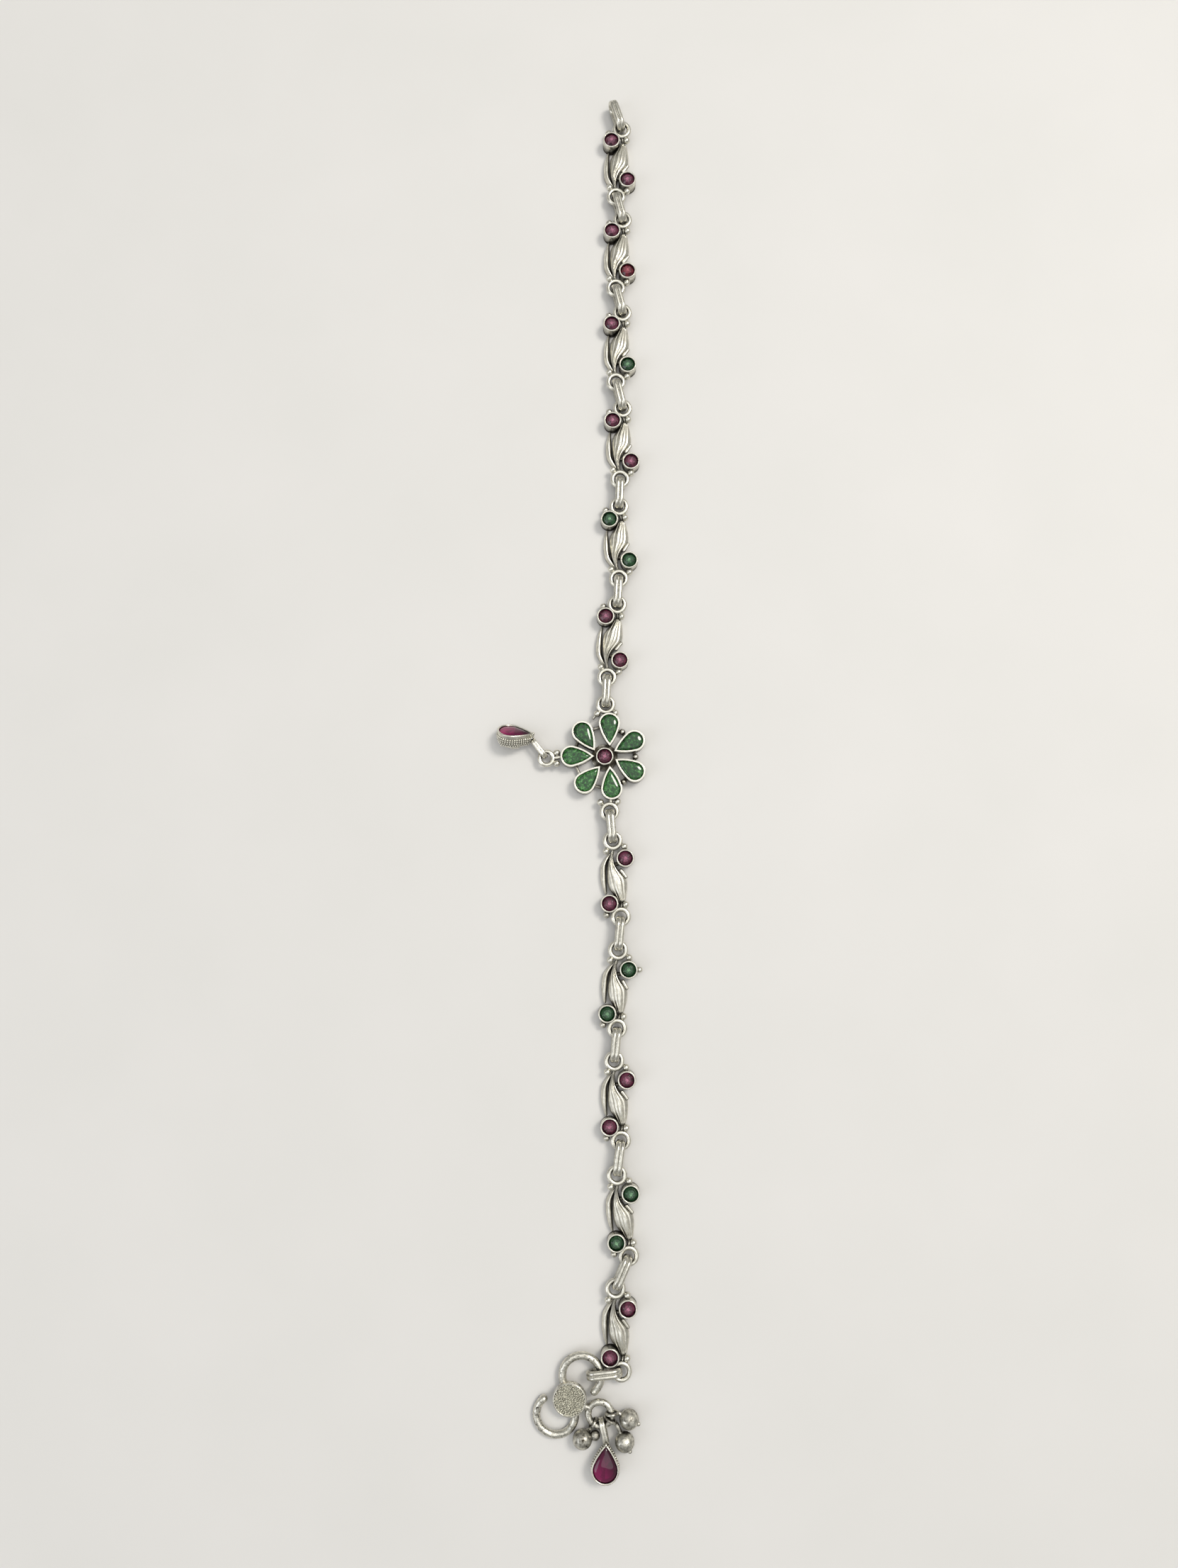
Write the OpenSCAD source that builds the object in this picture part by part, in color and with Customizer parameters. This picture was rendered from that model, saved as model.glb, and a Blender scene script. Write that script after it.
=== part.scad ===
/* [Chain] */
// Distance between the two eyelets of a leaf link
link_length = 13.5; // [12.5:0.1:14.5]
// Outer diameter of an eyelet
eyelet_d = 3.55; // [3.5:0.05:3.8]
// Wire of an eyelet
eyelet_wire = 0.82; // [0.7:0.02:0.84]
// Outer length of a connector ring
connector_length = 6.2; // [6.1:0.05:6.4]
// Outer height of a connector ring, which stands on edge
connector_height = 3.4; // [3.3:0.1:3.8]
// Thickness of each of the two wires of a connector ring
connector_wire = 0.86; // [0.8:0.02:0.86]
// Distance between the two fused wires of a connector ring
connector_pair = 0.7; // [0.5:0.05:0.7]

/* [Leaf link] */
// Outer diameter of a round bezel
bezel_d = 3.17; // [3:0.05:3.3]
// Wall of a bezel
bezel_wall = 0.3; // [0.25:0.05:0.4]
// Height of a bezel
bezel_h = 2.5; // [2.3:0.1:2.8]
// Height of the leaf at its crown
leaf_h = 2.1; // [1.8:0.1:2.3]
// Depth of the grooves between the ridges of the leaf
leaf_groove = 0.24; // [0.1:0.02:0.3]
// Diameter of a soldered granule
granule_d = 1.2; // [1.16:0.02:1.3]

/* [Flower] */
// Width of a petal bezel
petal_w = 3.77; // [3.5:0.05:3.9]
// Length of a petal bezel
petal_l = 5.98; // [5.8:0.05:6.1]
// Distance from the flower's centre to the centre of a petal's round end
petal_reach = 6; // [5.9:0.05:6.2]
// Outer diameter of the side ring that carries the side drop
side_ring_d = 3.2; // [3.1:0.05:3.4]

/* [Drops] */
// Width of a drop
drop_w = 4.7; // [4.5:0.05:4.9]
// Length of a drop without its bail
drop_l = 6.6; // [6.4:0.05:6.8]
// Depth of a drop's cup
drop_depth = 2.8; // [2.5:0.1:3]
// Roll of the side drop, which lies on its flank
side_drop_roll = 55; // [40:1:60]
// Diameter of a ball drop
ball_d = 3.3; // [3:0.1:3.4]

/* [Hook] */
// Wire of the S-hook
hook_wire = 1.3; // [1.1:0.05:1.3]
// Centre-line radius of the two loops of the S-hook
hook_loop_r = 3.3; // [3.1:0.05:3.4]
// Diameter of the disc on the S-hook
disc_d = 5.7; // [5.4:0.1:5.9]
// Thickness of the disc on the S-hook
disc_t = 0.9; // [0.7:0.05:1.1]
// Outer diameter of the cluster ring beside the disc
cluster_ring_d = 5.04; // [4.9:0.02:5.2]
// Wire of the cluster ring
cluster_wire = 1.1; // [1:0.05:1.14]

/* [Hidden] */
$fn = 24;

// Clearance between a stone and its setting
stone_gap = 0.05;
// Clearance between the surface and what lies on it
lift = 0.02;

// Columns: x of the top eyelet, x of the bottom eyelet, distance from the eyelet on the
// flower's side to its neighbour, upper stone, lower stone
LINK_ROWS = [
    [3.4, 2.3, 4.85, "plum", "plum"],
    [3.5, 2.2, 5.05, "plum", "garnet"],
    [3.4, 2.2, 5.3, "plum", "green"],
    [3.4, 2.9, 5.2, "plum", "plum"],
    [2.7, 2.6, 4.85, "green", "green"],
    [2.3, 0.45, 5, "plum", "plum"],
    [1.4, 2.8, 5.2, "plum", "plum"],
    [2.3, 2.1, 5.85, "green", "green"],
    [1.6, 2.7, 5.6, "plum", "plum"],
    [2, 4, 5.85, "green", "green"],
    [1.7, 2.7, 5.85, "plum", "plum"]
];
LINKS = len(LINK_ROWS);
// The links above the flower are numbered 1 to 6 from the top
LINKS_ABOVE = 6;

// Columns: direction of the petal's round end from the flower's centre, turn of the petal's
// own axis from that direction, and 1 where a granule fills the gap before the next row
PETAL_ROWS = [
    [180, 0, 0],
    [132, -9, 0],
    [82, 9, 1],
    [28, 0, 1],
    [-27, -5, 1],
    [-78, -7, 0],
    [-127, -6, 0]
];
PETALS = len(PETAL_ROWS);

// Columns: place along the link, left edge, right edge, part of the leaf's full height
LEAF_ROWS = [
    [4.75, -0.55, -0.2, 0.8],
    [3.7, -0.92, -0.22, 0.86],
    [2.7, -1.3, -0.1, 0.93],
    [1.7, -1.47, 0.35, 1],
    [0.8, -1.57, 1, 1],
    [-0.05, -1.6, 1.56, 1],
    [-0.9, -1.55, 1.7, 1],
    [-1.8, -1.3, 1.62, 0.97],
    [-2.6, -0.88, 1.47, 0.93],
    [-3.5, -0.42, 1.25, 0.88],
    [-4.15, -0.08, 1.02, 0.84],
    [-4.9, 0.3, 0.66, 0.32]
];
// Columns: place along the link, left edge, right edge, part of the crescent's full height
CRESCENT_ROWS = [
    [4.55, -0.95, -0.45, 0.75],
    [3.7, -1.72, -0.98, 0.9],
    [2.7, -2.4, -1.5, 1],
    [1.6, -2.66, -1.72, 1],
    [0.5, -2.75, -1.82, 1],
    [-0.5, -2.72, -1.9, 0.95],
    [-1.5, -2.58, -1.95, 0.85],
    [-2.4, -2.35, -1.98, 0.65]
];
CRESCENT_H = 1.5;

// Places on a leaf link, measured from its middle
UPPER_BEZEL = [1.88, 3.4];
LOWER_BEZEL = [-1.76, -4.25];
// Columns: x, y, z of a granule
LINK_GRANULES = [[-1.35, 5, 1.7], [1.95, 5.5, 1.7], [1.1, -4.7, 1.7], [-2.44, -6.18, 1.2]];
// The granule beside the lower bezel, which the last link lacks
SKIPPED_GRANULE = 3;
// The ends of the small curl on the leaf's right edge
CURL = [[0.92, 1.38, 1.25], [1.66, 0.15, 1.2]];
// One link carries one more granule on a short stem beside its upper bezel
STRAY_LINK = 8;
STRAY_GRANULE = [3.79, 3.41, 1.6];

// Heights
eyelet_z = connector_height / 2;
girdle_z = 1.95;
girdle_t = 0.14;
crown_z = bezel_h + 0.02;
seat_z = 0.95;
ledge_z = 1.52;

// Places on the flower
TOP_EYELET = [0.2, 9.4];
BOTTOM_EYELET = [0.86, -9.85];
SIDE_RING = [-10.4, -0.3];
FLOWER_GRANULES = [
    [1.95, 7.9], [-1.3, 7.76], [2.3, -8.1], [-0.75, -8.2], [-8.55, 0.7], [-8.55, -1.25]
];

// The side drop
SIDE_TIP = [-12.75, 2.75];
SIDE_TIP_Z = 2.01;
SIDE_DROP_TURN = 172;
side_ring_wire = 0.8;

// The hook is placed by the centre of its disc and tilted, so that its upper loop reaches
// into the last connector and its lower loop lies on the surface
HOOK_AT = [-6, -109.1];
HOOK_TILT = 4.6;
HOOK_TILT_AXIS = [0.637, -0.771, 0];
HOOK_UP = [2, 3.6];
HOOK_DOWN = [-2.4, -2.9];
HOOK_MIDDLE_Z = 1.22;
HOOK_FREE_ANGLE = -50;
CLUSTER_RING = [5.05, -2.55, 0.15];
CLUSTER_AT = HOOK_AT + [CLUSTER_RING[0], CLUSTER_RING[1]];
LAST_CONNECTOR_TURN = 186;
LAST_CONNECTOR_ROLL = 8;
LAST_CONNECTOR_RISE = 0.06;
FIRST_CONNECTOR_TURN = 108;
// How far a taut connector's middle lies from the centre of the eyelet that holds it
taut = (connector_length - connector_wire) / 2 + 0.25;

// The drop at the end of the chain and the balls beside it
END_TIP = [0.05, -115.95];
END_DROP_TURN = -92;
// Columns: direction of the ball's loop on the cluster ring, the ball's place and its bead's
// place, both measured from the ring's centre, and the bead's diameter
BALL_ROWS = [
    [-126, [-2.95, -4.02], [-0.82, -3.42], 1.7],
    [4, [4.9, -0.85], [6.45, -1.6], 0.75],
    [-28, [4.15, -4.45], [5, -5.95], 0.75]
];
BALLS = len(BALL_ROWS);
ball_loop_r = 0.98;
ball_loop_wire = 0.48;

// Columns: part of the depth and part of the outline of a drop's boat-shaped cup
CUP_ROWS = [[0, 0.5], [0.12, 0.72], [0.35, 0.88], [0.65, 0.97], [1, 1]];
// Ends of the beads of wire on a drop's cup, the last of which is the spike on its rim
CUP_BEADS = [
    [[2.5, 1.02, -1.05], [3.6, 1.6, -1.05]],
    [[5.94, 0.45, -1.05], [5.49, 1.24, -1.05]],
    [[0.2, 0, 1], [0.16, 0, 1.5]]
];
CUP_BEAD_D = 0.5;
// Depth of the pocket that holds a drop's stone
POCKET = 1.2;

// Colours as the pieces show them
SILVER = [0.72, 0.71, 0.67];
PETAL_GREEN = [0.2, 0.45, 0.24];
RUBY = [0.5, 0.08, 0.3];
function stone_colour(name) =
    name == "green" ? [0.13, 0.34, 0.25] : name == "garnet" ? [0.5, 0.1, 0.2] : [0.4, 0.18, 0.29];

// Where the eyelets of each link lie: the links above the flower are counted up from it, and
// those below it down from it
function top_x(i) = LINK_ROWS[i - 1][0];
function bottom_x(i) = LINK_ROWS[i - 1][1];
function gap(i) = LINK_ROWS[i - 1][2];
function alike(i) = LINK_ROWS[i - 1][3] == LINK_ROWS[i - 1][4];
function rise(length, shift) = sqrt(length * length - shift * shift);
function top_y(i) =
    i <= LINKS_ABOVE ? bottom_y(i) + rise(link_length, top_x(i) - bottom_x(i))
    : i == LINKS_ABOVE + 1 ? BOTTOM_EYELET[1] - rise(gap(i), top_x(i) - BOTTOM_EYELET[0])
    : bottom_y(i - 1) - rise(gap(i), top_x(i) - bottom_x(i - 1));
function bottom_y(i) =
    i > LINKS_ABOVE ? top_y(i) - rise(link_length, top_x(i) - bottom_x(i))
    : i == LINKS_ABOVE ? TOP_EYELET[1] + rise(gap(i), bottom_x(i) - TOP_EYELET[0])
    : top_y(i + 1) + rise(gap(i), bottom_x(i) - top_x(i + 1));
function link_top(i) = [top_x(i), top_y(i)];
function link_bottom(i) = [bottom_x(i), bottom_y(i)];

// Direction of a flat vector, in degrees
function heading(v) = atan2(v[1], v[0]);

// Outline of a pear with its round end's centre at the origin and its tip towards -x. Each
// side is an arc of side_r that meets the round end smoothly. A positive inset makes the
// outline smaller by that much all round.
function pear_outline(w, l, inset = 0, round_steps = 18, side_steps = 4) =
    let (
        r = w / 2,
        tip = l - r,
        side_r = 2.4 * w,
        along = (2 * side_r * r - r * r - tip * tip) / (2 * tip),
        across = sqrt((side_r - r) * (side_r - r) - along * along),
        meet = atan2(across, -along),
        arc_r = side_r - inset,
        tip_angle = 180 - asin(across / arc_r),
        upper = [
            for (j = [1:side_steps])
                let (a = meet + (tip_angle - meet) * j / side_steps)
                    [along + arc_r * cos(a), arc_r * sin(a) - across]
        ]
    )
    concat(
        [for (j = [0:round_steps]) let (a = meet * (2 * j / round_steps - 1)) (r - inset) * [cos(a), sin(a)]],
        upper,
        [for (j = [side_steps - 2:-1:0]) [upper[j][0], -upper[j][1]]]
    );

// Side walls and end caps of a solid whose sections are rings of the same number of points
module loft(rings) {
    n = len(rings[0]);
    last = (len(rings) - 1) * n;
    polyhedron(
        points = [for (ring = rings) each ring],
        faces = concat(
            [[for (k = [0:n - 1]) k]],
            [[for (k = [n - 1:-1:0]) last + k]],
            [
                for (s = [0:n:last - n], k = [0:n - 1])
                    each [
                        [s + k, s + n + k, s + n + (k + 1) % n],
                        [s + k, s + n + (k + 1) % n, s + (k + 1) % n]
                    ]
            ]
        )
    );
}

// One section of a carved leaf: a ridged crown over a flat back
function leaf_section(row, height, ridges, groove) =
    let (steps = 2 * ridges, y = row[0], left = row[1], width = row[2] - row[1])
    concat(
        [[left, y, 0.06], [left + width, y, 0.06]],
        [
            for (k = [steps:-1:0])
                let (t = k / steps, edge = k == 0 || k == steps, cut = k % 2 == 0 && !edge)
                    [
                        left + width * t,
                        y,
                        row[3] * height * (0.5 + 0.5 * sin(180 * t)) - (cut ? groove : 0)
                    ]
        ]
    );

module wire_ring(outer_d, wire) {
    rotate_extrude()
        translate([(outer_d - wire) / 2, 0])
            circle(d = wire, $fn = 16);
}

// A straight round bar between two points
module bar(from, to, d) {
    span = to - from;
    translate(from)
        rotate([0, acos(span[2] / norm(span)), heading(span)])
            cylinder(d = d, h = norm(span), $fn = 16);
}

module granule(d = granule_d) {
    sphere(d = d, $fn = 16);
}

// A short piece of wire with molten, rounded ends
module bead(from, to, d) {
    bar(from, to, d);
    for (end = [from, to]) translate(end) granule(d);
}

// A cup with a bearing seat for a round stone
module round_bezel() {
    r = bezel_d / 2;
    inner = r - bezel_wall;
    rotate_extrude($fn = 32)
        polygon([
            [0, 0], [r, 0], [r, bezel_h - 0.12], [r - 0.1, bezel_h],
            [inner + 0.08, bezel_h], [inner, bezel_h - 0.1],
            [inner, girdle_z - stone_gap], [0.25, seat_z - stone_gap], [0, seat_z - stone_gap]
        ]);
}

// A round stone with a table, eight crown facets and as many stars between them
module round_stone() {
    r = bezel_d / 2 - bezel_wall - stone_gap;
    hull() {
        translate([0, 0, seat_z + 0.05]) cylinder(r = 0.2, h = 0.05, $fn = 8);
        translate([0, 0, girdle_z]) cylinder(r = r, h = girdle_t, $fn = 16);
        translate([0, 0, crown_z - 0.01]) cylinder(r = 0.56 * r, h = 0.01, $fn = 8);
    }
}

// A pear stone with a table and two rows of crown facets, its round end's centre at the origin
module pear_stone(w, l, wall, girdle, top, bottom) {
    inset = wall + stone_gap;
    hull() {
        translate([0, 0, bottom])
            linear_extrude(0.05) polygon(pear_outline(w, l, inset + 0.75, 6, 2));
        translate([0, 0, girdle])
            linear_extrude(girdle_t) polygon(pear_outline(w, l, inset, 12, 3));
        translate([0, 0, girdle + 0.72 * (top - girdle)])
            linear_extrude(0.01) polygon(pear_outline(w, l, inset + 0.3, 12, 3));
        translate([0, 0, top - 0.01])
            linear_extrude(0.01) polygon(pear_outline(w, l, inset + 0.72, 6, 2));
    }
}

// A pear cup with straight walls and a ledge under the stone
module petal_cup() {
    difference() {
        linear_extrude(bezel_h) polygon(pear_outline(petal_w, petal_l));
        translate([0, 0, ledge_z])
            linear_extrude(bezel_h) polygon(pear_outline(petal_w, petal_l, bezel_wall));
        translate([0, 0, seat_z])
            linear_extrude(bezel_h) polygon(pear_outline(petal_w, petal_l, bezel_wall + 0.3));
    }
}

function petal_centre(k) = petal_reach * [cos(PETAL_ROWS[k][0]), sin(PETAL_ROWS[k][0])];

module at_petal(k) {
    translate(petal_centre(k))
        rotate(PETAL_ROWS[k][0] + PETAL_ROWS[k][1])
            children();
}

// The low bar that joins a petal to the next one, with the granule that covers some of them
module petal_joint(k) {
    here = petal_centre(k);
    next = petal_centre((k + 1) % PETALS);
    toward = (next - here) / norm(next - here);
    middle = (here + next) / 2;
    half = norm(next - here) / 2 - petal_w / 2 + 0.25;
    bar([each middle - half * toward, 0.75], [each middle + half * toward, 0.75], 0.6);
    if (PETAL_ROWS[k][2] == 1)
        translate([each 1.04 * middle, 0.95]) granule(1.1);
}

module flower_setting() {
    color(SILVER) {
        round_bezel();
        translate([0, 0, 0.1]) cylinder(r = 2.35, h = 0.5);
        for (k = [0:PETALS - 1]) {
            at_petal(k) petal_cup();
            petal_joint(k);
        }
        translate([each TOP_EYELET, eyelet_z]) wire_ring(eyelet_d, eyelet_wire);
        translate([each BOTTOM_EYELET, eyelet_z]) wire_ring(eyelet_d, eyelet_wire);
        translate([each SIDE_RING, eyelet_z]) wire_ring(side_ring_d, side_ring_wire);
        bar([0.55, 7.45, 1.6], [0.35, 8.15, 1.6], 0.62);
        bar([1.12, -7.5, 1.6], [0.98, -8.6, 1.6], 0.75);
        bar([-7.65, -0.05, 1.6], [-9.1, -0.25, 1.6], 0.75);
        for (p = FLOWER_GRANULES) translate([each p, eyelet_z]) granule();
        bead([-1.4, 7.65, 1.55], [-2, 7, 1.2], 0.45);
    }
}

module flower_centre_stone() {
    color(stone_colour("plum")) round_stone();
}

module petal_stone(k) {
    color(PETAL_GREEN)
        at_petal(k - 1) pear_stone(petal_w, petal_l, bezel_wall, girdle_z, crown_z + 0.1, seat_z + 0.15);
}

// Puts its children in a link's own frame: the middle of the link, its top eyelet towards +y,
// and the links above the flower upside down
module at_link(i) {
    span = link_top(i) - link_bottom(i);
    middle = (link_top(i) + link_bottom(i)) / 2;
    translate(middle)
        rotate(heading(span) - 90)
            mirror([0, i <= LINKS_ABOVE ? 1 : 0, 0])
                children();
}

module leaf_link(i) {
    half = link_length / 2;
    color(SILVER)
        at_link(i) {
            for (side = [-1, 1])
                translate([0, side * half, eyelet_z]) wire_ring(eyelet_d, eyelet_wire);
            for (p = [UPPER_BEZEL, LOWER_BEZEL]) translate(p) round_bezel();
            loft([for (row = LEAF_ROWS) leaf_section(row, leaf_h, 4, leaf_groove)]);
            loft([for (row = CRESCENT_ROWS) leaf_section(row, CRESCENT_H, 1, 0)]);
            bar([-0.4, 4.3, 1.2], [-0.1, half - 1.3, 1.55], 0.6);
            bar([0.5, -4.4, 1.15], [0.15, 1.3 - half, 1.55], 0.62);
            bar([-0.6, 2.5, 0.7], [1.2, 2.7, 0.7], 0.7);
            bar([-0.7, -4.1, 0.7], [0.3, -3.4, 0.7], 0.7);
            for (k = [0:len(LINK_GRANULES) - 1])
                if (i < LINKS || k != SKIPPED_GRANULE)
                    translate(LINK_GRANULES[k]) granule();
            bead(CURL[0], CURL[1], 0.62);
            if (i == STRAY_LINK) {
                bar([UPPER_BEZEL[0] + 1.4, UPPER_BEZEL[1], 1.6], STRAY_GRANULE, 0.5);
                translate(STRAY_GRANULE) granule(1.1);
            }
        }
}

// The upper stone of a link is 0 and the lower one 1
module link_stones(i, which = [0, 1]) {
    places = i <= LINKS_ABOVE ? [LOWER_BEZEL, UPPER_BEZEL] : [UPPER_BEZEL, LOWER_BEZEL];
    for (k = which)
        color(stone_colour(LINK_ROWS[i - 1][3 + k]))
            at_link(i) translate(places[k]) round_stone();
}

// An oval ring of two fused wires that stands on edge along x, its middle at the origin
module oval_ring(length, height, wire, pair) {
    bend = (height - wire) / 2;
    straight = length - height;
    module pair_section() {
        for (side = [-1, 1])
            translate([0, side * pair / 2]) circle(d = wire, $fn = 16);
    }
    rotate([90, 0, 0])
        for (turn = [0, 180])
            rotate(turn) {
                translate([straight / 2, 0, 0])
                    rotate(-90)
                        rotate_extrude(angle = 180) translate([bend, 0]) pair_section();
                translate([-straight / 2, bend, 0])
                    rotate([0, 90, 0])
                        linear_extrude(straight) rotate(90) pair_section();
            }
}

module place_connector(middle, turn, roll = 0, raised = 0) {
    translate([each middle, eyelet_z + raised])
        rotate([roll, 0, turn])
            oval_ring(connector_length, connector_height, connector_wire, connector_pair);
}

// The eyelets above and below connector i, where the flower lies between two of them
function eyelet_above(i) =
    i == 1 ? link_top(1)
    : i == LINKS_ABOVE + 2 ? BOTTOM_EYELET
    : link_bottom(i < LINKS_ABOVE + 2 ? i - 1 : i - 2);
function eyelet_below(i) =
    i == LINKS_ABOVE + 1 ? TOP_EYELET
    : i == LINKS + 2 ? link_bottom(LINKS)
    : link_top(i < LINKS_ABOVE + 1 ? i : i - 1);

module connector(i) {
    above = eyelet_above(i);
    below = eyelet_below(i);
    color(SILVER)
        if (i == 1)
            place_connector(above + taut * [cos(FIRST_CONNECTOR_TURN), sin(FIRST_CONNECTOR_TURN)], FIRST_CONNECTOR_TURN);
        else if (i == LINKS + 2)
            place_connector(
                above + taut * [cos(LAST_CONNECTOR_TURN), sin(LAST_CONNECTOR_TURN)],
                LAST_CONNECTOR_TURN, LAST_CONNECTOR_ROLL, LAST_CONNECTOR_RISE
            );
        else
            place_connector((above + below) / 2, heading(above - below));
}

// A deep cup with its tip at the origin, its round end towards +x and its middle depth at 0
module drop_cup() {
    centre = drop_l - drop_w / 2;
    outline = pear_outline(drop_w, drop_l, 0, 14, 3);
    difference() {
        loft([
            for (row = CUP_ROWS)
                [for (p = outline) [centre + p[0] * row[1], p[1] * row[1], drop_depth * (row[0] - 0.5)]]
        ]);
        translate([centre, 0, drop_depth / 2 - POCKET])
            linear_extrude(drop_depth) polygon(pear_outline(drop_w, drop_l, bezel_wall, 14, 3));
    }
    for (ends = CUP_BEADS) bead(ends[0], ends[1], CUP_BEAD_D);
}

module drop_gem() {
    translate([drop_l - drop_w / 2, 0, 0])
        color(RUBY)
            pear_stone(
                drop_w, drop_l, bezel_wall,
                drop_depth / 2 - 0.5, drop_depth / 2 + 0.15, drop_depth / 2 - POCKET + stone_gap
            );
}

// A bail from a ring at one point to a drop's tip at the other, both in the flat
module bail(ring_at, grip, tip_at, z, height, wire) {
    way = tip_at - ring_at;
    unit = way / norm(way);
    start = ring_at + (grip - wire / 2) * unit;
    length = norm(tip_at - start) + 0.6;
    translate([each start + length / 2 * unit, z])
        rotate(heading(way))
            oval_ring(length, height, wire, 0.85 * wire);
}

module at_side_drop() {
    translate([each SIDE_TIP, SIDE_TIP_Z])
        rotate([side_drop_roll, 0, SIDE_DROP_TURN])
            children();
}

module side_drop_setting() {
    color(SILVER) {
        at_side_drop() drop_cup();
        bail(SIDE_RING, 0.3, SIDE_TIP, eyelet_z + 0.02, 2.3, 0.54);
    }
}

module side_drop_stone() {
    at_side_drop() drop_gem();
}

module at_end_drop() {
    translate([each END_TIP, drop_depth / 2 + lift])
        rotate(END_DROP_TURN)
            children();
}

// Height of the cluster ring's wire at a flat distance from the ring's centre, once the hook
// is tilted
function ring_height(p) =
    let (at = [CLUSTER_RING[0] + p[0], CLUSTER_RING[1] + p[1]])
    HOOK_MIDDLE_Z + CLUSTER_RING[2]
    + sin(HOOK_TILT) * (HOOK_TILT_AXIS[0] * at[1] - HOOK_TILT_AXIS[1] * at[0]);
CLUSTER_WIRE_R = (cluster_ring_d - cluster_wire) / 2;

module end_drop_setting() {
    way = END_TIP - CLUSTER_AT;
    color(SILVER) {
        at_end_drop() drop_cup();
        bail(CLUSTER_AT, 0.85, END_TIP, ring_height(CLUSTER_WIRE_R * way / norm(way)), 2.5, 0.54);
    }
}

module end_drop_stone() {
    at_end_drop() drop_gem();
}

// A ball with a loop round the cluster ring's wire and a bead soldered to its side
module ball_drop(i) {
    row = BALL_ROWS[i - 1];
    direction = row[0];
    unit = [cos(direction), sin(direction)];
    loop_at = (CLUSTER_WIRE_R + 0.05) * unit;
    loop_end = (CLUSTER_WIRE_R + 0.1 + ball_loop_r) * unit;
    loop_z = ring_height(loop_at);
    ball_z = ball_d / 2 + lift;
    neck = row[1] + (loop_end - row[1]) * ball_d / 3 / norm(loop_end - row[1]);
    color(SILVER)
        translate(CLUSTER_AT) {
            translate([each loop_at, loop_z])
                rotate([90, 0, direction])
                    wire_ring(2 * ball_loop_r + ball_loop_wire, ball_loop_wire);
            bar([each loop_end, loop_z], [each neck, ball_z], 0.7);
            // The turn keeps the ball's seam clear of its neck and bead
            translate([each row[1], ball_z]) rotate(-120) sphere(d = ball_d, $fn = 32);
            translate([each row[2], ball_z]) granule(row[3]);
        }
}

// One loop of the S-hook and its free end, which the other loop repeats upside down
module hook_loop(centre, start, sweep) {
    translate(centre)
        rotate(start) {
            rotate_extrude(angle = sweep, $fn = 48)
                translate([hook_loop_r, 0]) circle(d = hook_wire, $fn = 16);
            translate([hook_loop_r, 0, 0]) sphere(d = hook_wire + 0.12, $fn = 16);
        }
}

module s_hook() {
    span = HOOK_DOWN - HOOK_UP;
    meet = heading(span) + 360 - acos(2 * hook_loop_r / norm(span));
    upper_meet = HOOK_UP + hook_loop_r * [cos(meet), sin(meet)];
    lower_meet = HOOK_DOWN - hook_loop_r * [cos(meet), sin(meet)];
    reach = (lower_meet - upper_meet) / norm(lower_meet - upper_meet);
    color(SILVER)
        translate([each HOOK_AT, HOOK_MIDDLE_Z])
            rotate(a = HOOK_TILT, v = HOOK_TILT_AXIS) {
                hook_loop(HOOK_UP, HOOK_FREE_ANGLE, meet - HOOK_FREE_ANGLE);
                hook_loop(HOOK_DOWN, HOOK_FREE_ANGLE + 180, meet - HOOK_FREE_ANGLE);
                bar(
                    [each upper_meet - 0.3 * reach, 0],
                    [each lower_meet + 0.3 * reach, 0], hook_wire + 0.12
                );
                translate([0, 0, 0.35]) cylinder(d = disc_d, h = disc_t, $fn = 48);
                translate(CLUSTER_RING) wire_ring(cluster_ring_d, cluster_wire);
                bar([2.2, -1.1, 0.45], [3.3, -1.7, 0.15], 1.1);
            }
}

flower_setting();
flower_centre_stone();
side_drop_setting();
side_drop_stone();
for (i = [1:PETALS]) petal_stone(i);
for (i = [1:LINKS]) leaf_link(i);
for (i = [1:LINKS])
    if (alike(i)) {
        link_stones(i);
    } else {
        link_stones(i, [0]);
        link_stones(i, [1]);
    }
for (i = [1:LINKS + 2]) connector(i);
s_hook();
end_drop_setting();
end_drop_stone();
for (i = [1:BALLS]) ball_drop(i);
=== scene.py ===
import math
import random

import bmesh
import bpy
import numpy as np
from mathutils import Matrix, Vector


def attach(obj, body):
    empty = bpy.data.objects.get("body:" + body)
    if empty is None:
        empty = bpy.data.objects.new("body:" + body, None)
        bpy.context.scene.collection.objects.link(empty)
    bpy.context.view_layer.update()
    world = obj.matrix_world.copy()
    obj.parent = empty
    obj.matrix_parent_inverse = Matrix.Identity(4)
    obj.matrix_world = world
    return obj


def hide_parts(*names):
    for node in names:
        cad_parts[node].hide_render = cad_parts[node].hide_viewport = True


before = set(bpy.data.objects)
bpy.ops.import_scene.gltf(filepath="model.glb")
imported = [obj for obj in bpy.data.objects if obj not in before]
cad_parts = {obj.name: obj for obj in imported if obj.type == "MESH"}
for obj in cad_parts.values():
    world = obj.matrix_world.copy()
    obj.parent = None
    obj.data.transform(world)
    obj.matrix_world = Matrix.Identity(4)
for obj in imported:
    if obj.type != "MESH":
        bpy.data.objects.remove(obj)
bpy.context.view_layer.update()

scene = bpy.context.scene
scene.view_settings.view_transform = "Standard"

# ------------------------------------------------------------------------------------------
# Table, lamps and camera. The anklet lies open on a pale matt lacquered table top, under
# round soft lamps: a small one high at the upper right, a wider one at the lower left and a
# very wide one overhead. It is seen from almost straight above.


def linear(colour):
    """An sRGB hex colour as linear red, green, blue and full alpha."""
    parts = [int(colour[i : i + 2], 16) / 255 for i in (1, 3, 5)]
    return [c / 12.92 if c <= 0.04045 else ((c + 0.055) / 1.055) ** 2.4 for c in parts] + [1]


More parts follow.
